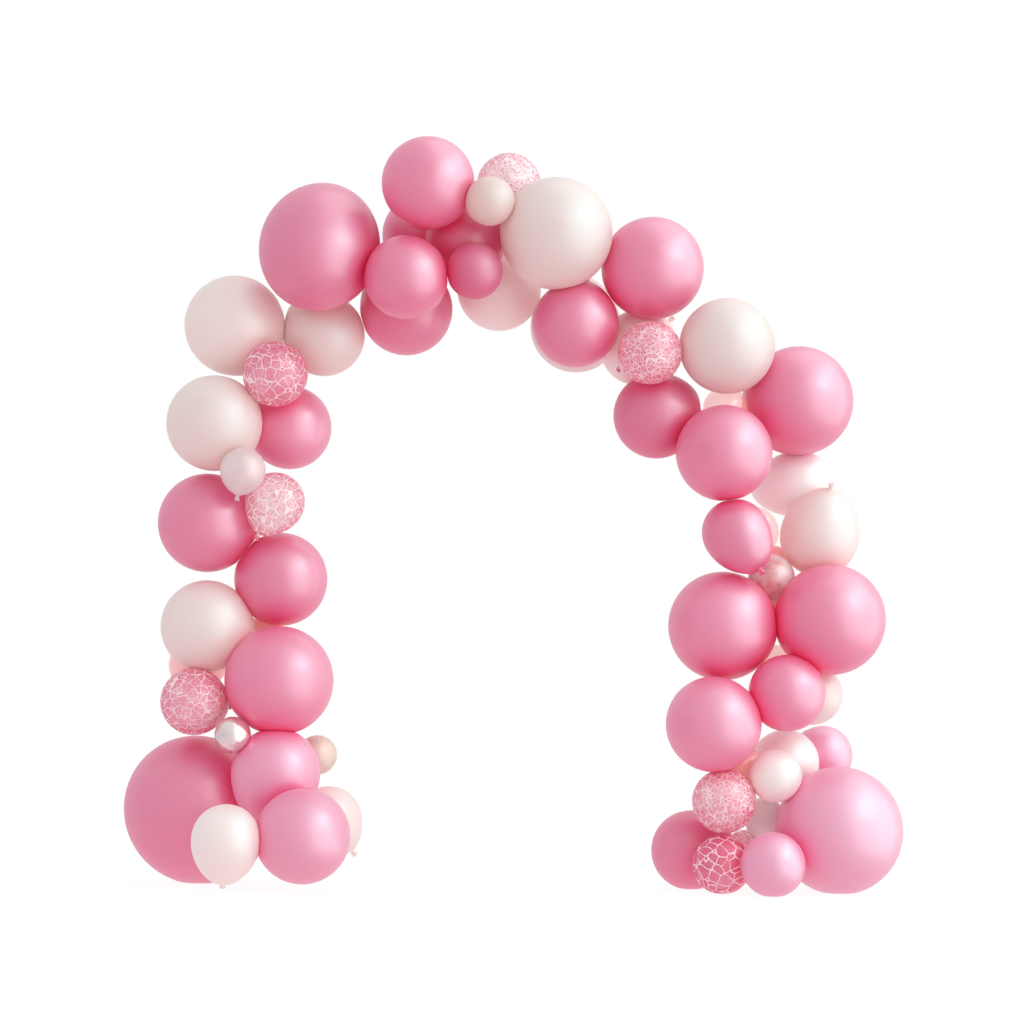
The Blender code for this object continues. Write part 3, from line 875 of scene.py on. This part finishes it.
def blush_latex(groups):
    # Painted glow: the emission lights the blush fillers in their shaded gaps, standing in for
    # light through the latex
    material, tree, shader = new_finish(
        "blush_latex", Subsurface_Weight=0.4, Subsurface_Radius=(1.0, 0.4, 0.35),
        Subsurface_Scale=0.03, Specular_IOR_Level=0.8, Specular_Tint=(0.6, 1.0, 1.0, 1.0),
        Coat_Weight=0.3, Coat_Roughness=0.3,
        Emission_Color=(0.95, 0.48, 0.46, 1.0), Emission_Strength=0.2)
    lay_latex(tree, shader, groups, colour=(0.84, 0.52, 0.51), thick=(0.88, 0.42, 0.40),
              roughness=0.38, cloudiness=0.08, grain=0.15)
    return material


def clear_latex(groups):
    # Painted glow: the emission lights the clear balloons from within, standing in for light
    # through the film
    material, tree, shader = new_finish(
        "clear_latex", Alpha=0.4, Specular_IOR_Level=0.8, Coat_Weight=0.8, Coat_Roughness=0.06,
        Emission_Color=(0.95, 0.55, 0.50, 1.0), Emission_Strength=0.18)
    lay_latex(tree, shader, groups, colour=(0.95, 0.64, 0.62), thick=(0.90, 0.50, 0.50),
              roughness=0.2, cloudiness=0.1, grain=0.08)
    return material


def crackle(name, groups, cell, edge, line, alpha, net, width, fine, mist, rim):
    """A clear tinted balloon under a printed net.

    The cells have this alpha.  Where the film is seen at a slant it hides more, and between
    the lines it deepens towards the edge's colour, up to the rim's share.
    """
    # Painted glow: a faint emission in the print's own colour lifts the shade
    material, tree, shader = new_finish(
        name, Specular_IOR_Level=0.4, Coat_Weight=0.2, Coat_Roughness=0.2, Emission_Strength=0.05)
    colour = lay_latex(tree, shader, groups, colour=cell, thick=edge, roughness=0.4,
                       cloudiness=0.2, grain=0.05)
    printed = place_group(tree, groups["crackle_print"], Cells=net, Width=width, Fine_Lines=fine)
    lines = printed.outputs["Lines"]
    facing = shader_node(tree, "ShaderNodeLayerWeight", {"Blend": 0.5}).outputs["Facing"]
    slant = reckon(tree, "MULTIPLY", ease(tree, facing, 0.15, 0.7), rim)
    depth = reckon(tree, "MULTIPLY", printed.outputs["Edges"],
                   ease(tree, slant, 0.1, 0.5, 0.6, 1.0))
    misted = reckon(tree, "MULTIPLY", printed.outputs["Mist"], mist)
    for share, over in ((depth, edge), (misted, line), (slant, edge), (lines, line)):
        colour = blend_colours(tree, share, colour, (*over, 1))
    tree.links.new(colour, shader.inputs["Base Color"])
    # The painted glow takes the printed colour
    tree.links.new(colour, shader.inputs["Emission Color"])
    solid = reckon(tree, "MAXIMUM", lines, slant)
    tree.links.new(ease(tree, solid, 0.0, 1.0, alpha, LINE_ALPHA), shader.inputs["Alpha"])
    return material


def pink_crackle(groups):
    return crackle("pink_crackle", groups, cell=(0.88, 0.28, 0.42), edge=(0.76, 0.05, 0.20),
                   line=(0.97, 0.75, 0.79), alpha=0.68, net=44.0, width=0.07, fine=1.0,
                   mist=0.6, rim=0.7)


def clear_crackle(groups):
    return crackle("clear_crackle", groups, cell=(0.94, 0.58, 0.64), edge=(0.78, 0.07, 0.20),
                   line=(0.97, 0.87, 0.89), alpha=0.5, net=44.0, width=0.085, fine=0.8,
                   mist=0.55, rim=0.7)


def pearl(name, groups, colour, pale, thick, sheen, roughness, streaks, **plain):
    """Latex with mica in it, which shimmers.  It is of the one colour or the pale one."""
    material, tree, shader = new_finish(name, **plain)
    skin = lay_latex(tree, shader, groups, colour=colour, thick=thick, roughness=roughness,
                     cloudiness=0.1, grain=0.05)
    base = blend_colours(tree, ease(tree, stored(tree, "tone"), -1.0, 1.0), skin, (*pale, 1))
    mica = place_group(tree, groups["pearl_shimmer"], Streaks=streaks)
    mixed = blend_colours(tree, mica.outputs["Shimmer"], base, (*sheen, 1))
    tree.links.new(mixed, shader.inputs["Base Color"])
    # Painted glow: emission in the mica's colour lifts the shaded side, at the strength each
    # finish gives
    tree.links.new(mixed, shader.inputs["Emission Color"])
    return material


def pearl_latex(groups):
    # Its Emission_Strength is the painted glow
    return pearl("pearl_latex", groups, colour=(0.62, 0.20, 0.22), pale=(0.60, 0.56, 0.57),
                 thick=(0.55, 0.18, 0.20), sheen=(0.64, 0.54, 0.54), roughness=0.5,
                 streaks=0.15, Metallic=0.05, Specular_IOR_Level=0.4, Coat_Weight=0.25,
                 Coat_Roughness=0.16, Emission_Strength=0.26)


def silver_latex(groups):
    # Its Emission_Strength is the painted glow
    return pearl("silver_latex", groups, colour=(0.76, 0.66, 0.66), pale=(0.76, 0.66, 0.66),
                 thick=(0.60, 0.42, 0.42), sheen=(0.86, 0.80, 0.80), roughness=0.24,
                 streaks=0.7, Metallic=0.85, Coat_Weight=0.2, Coat_Roughness=0.1,
                 Emission_Strength=0.04)


def gold_latex(groups):
    # Its Emission_Strength is the painted glow
    return pearl("gold_latex", groups, colour=(0.66, 0.51, 0.44), pale=(0.68, 0.54, 0.46),
                 thick=(0.64, 0.48, 0.42), sheen=(0.74, 0.65, 0.56), roughness=0.46,
                 streaks=0.9, Metallic=0.1, Coat_Weight=0.05, Coat_Roughness=0.3,
                 Emission_Strength=0.08)


FINISHES = (pink_latex, white_latex, blush_latex, pearl_latex, silver_latex, gold_latex,
            clear_latex, pink_crackle, clear_crackle)
SILVER = ("left_foot_pearl",)      # pearl balloons that are more of a mirror


# ---------------------------------------------------------------- light, floor and camera

def light_world():
    """White to the camera.  To the balloons it is pale above, rosy below and dim on the left."""
    world = bpy.data.worlds.new("studio")
    bpy.context.scene.world = world
    world.use_nodes = True
    tree = world.node_tree
    tree.nodes.clear()
    way = shader_node(tree, "ShaderNodeTexCoord").outputs["Generated"]
    split = shader_node(tree, "ShaderNodeSeparateXYZ", {0: way}).outputs
    side = ease(tree, split["X"], -1.0, 1.0)
    upper = ease(tree, split["Z"], -0.2, 1.0)
    lower = ease(tree, split["Z"], -1.0, 0.05)
    around = blend_colours(tree, side, (*LIGHT_LEFT, 1), (*LIGHT_RIGHT, 1))
    walls = blend_colours(tree, lower, (*LIGHT_BELOW, 1), around)
    room = blend_colours(tree, upper, walls, (*LIGHT_ABOVE, 1))
    lit = shader_node(tree, "ShaderNodeBackground", {"Color": room})
    white = shader_node(tree, "ShaderNodeBackground", {"Color": (1, 1, 1, 1)})
    seen = shader_node(tree, "ShaderNodeLightPath").outputs["Is Camera Ray"]
    mix = shader_node(tree, "ShaderNodeMixShader",
                      {0: seen, 1: lit.outputs[0], 2: white.outputs[0]})
    result = shader_node(tree, "ShaderNodeOutputWorld", {"Surface": mix.outputs[0]})
    result.is_active_output = True


def softbox(name, place, target, size, power, colour, gloss_only):
    """A square soft light at a place, turned to a target."""
    data = bpy.data.lights.new(name, "AREA")
    data.shape = "SQUARE"
    data.size = size
    data.energy = power
    data.color = colour
    box = bpy.data.objects.new(name, data)
    box.location = place
    box.rotation_euler = (Vector(target) - Vector(place)).to_track_quat("-Z", "Y").to_euler()
    box.visible_camera = False
    box.visible_diffuse = not gloss_only
    bpy.context.scene.collection.objects.link(box)


def light_studio(middle):
    """A large softbox at the upper right, and three that only show as glints and sheens."""
    for name, way, distance, size, power, colour, gloss_only in SOFTBOXES:
        place = middle + distance * Vector(way).normalized()
        softbox(name, place, middle, size, power, colour, gloss_only)


def lay_floor():
    """A plain pale floor that the arch stands on.  It throws no light back up at it."""
    square = [(x * FLOOR_SIZE / 2, y * FLOOR_SIZE / 2, FLOOR_LEVEL)
              for x, y in ((-1, -1), (1, -1), (1, 1), (-1, 1))]
    mesh = bpy.data.meshes.new("floor")
    mesh.from_pydata(square, [], [(0, 1, 2, 3)])
    floor = bpy.data.objects.new("floor", mesh)
    bpy.context.scene.collection.objects.link(floor)
    paint = new_finish("floor_paint", Roughness=0.9, Specular_IOR_Level=0.0,
                       Base_Color=(FLOOR_GREY, FLOOR_GREY, FLOOR_GREY, 1),
                       Emission_Color=(1, 1, 1, 1), Emission_Strength=FLOOR_GLOW)[0]
    mesh.materials.append(paint)
    floor.visible_diffuse = False
    floor.visible_glossy = False
    floor.visible_transmission = False
    floor.visible_shadow = False


def set_camera():
    """A long lens at hip height, a little tilted up and leaning."""
    data = bpy.data.cameras.new("camera")
    data.lens = CAMERA_LENS
    data.sensor_width = CAMERA_SENSOR
    camera = bpy.data.objects.new("camera", data)
    tilt = Matrix.Rotation(math.pi / 2 + math.radians(CAMERA_TILT), 4, "X")
    lean = Matrix.Rotation(math.radians(CAMERA_LEAN), 4, "Z")
    camera.matrix_world = Matrix.Translation(CAMERA_PLACE) @ tilt @ lean
    bpy.context.scene.collection.objects.link(camera)
    bpy.context.scene.camera = camera


# ---------------------------------------------------------------- putting it together

def main():
    balloons = measure_all()
    add_fillers(balloons)
    find_presses(balloons)
    turn_fillers(balloons)
    groups = {group.name: group for group in (latex_skin(), crackle_print(), pearl_shimmer())}
    finishes = {finish.__name__: finish(groups) for finish in FINISHES}
    chance = np.random.default_rng(TONE_SEED)
    for name, balloon in balloons.items():
        piece = make_skin(balloon, TONES.get(name, chance.uniform(-1, 1)))
        finish = "silver_latex" if name in SILVER else balloon.slot
        piece.data.materials.append(finishes[finish])
        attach(piece, "root")
        if name in frame["nodes"]:
            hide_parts(name)
    low, high = cad_box
    light_world()
    light_studio((low + high) / 2)
    lay_floor()
    set_camera()
    bpy.context.scene.view_settings.view_transform = "Standard"


main()
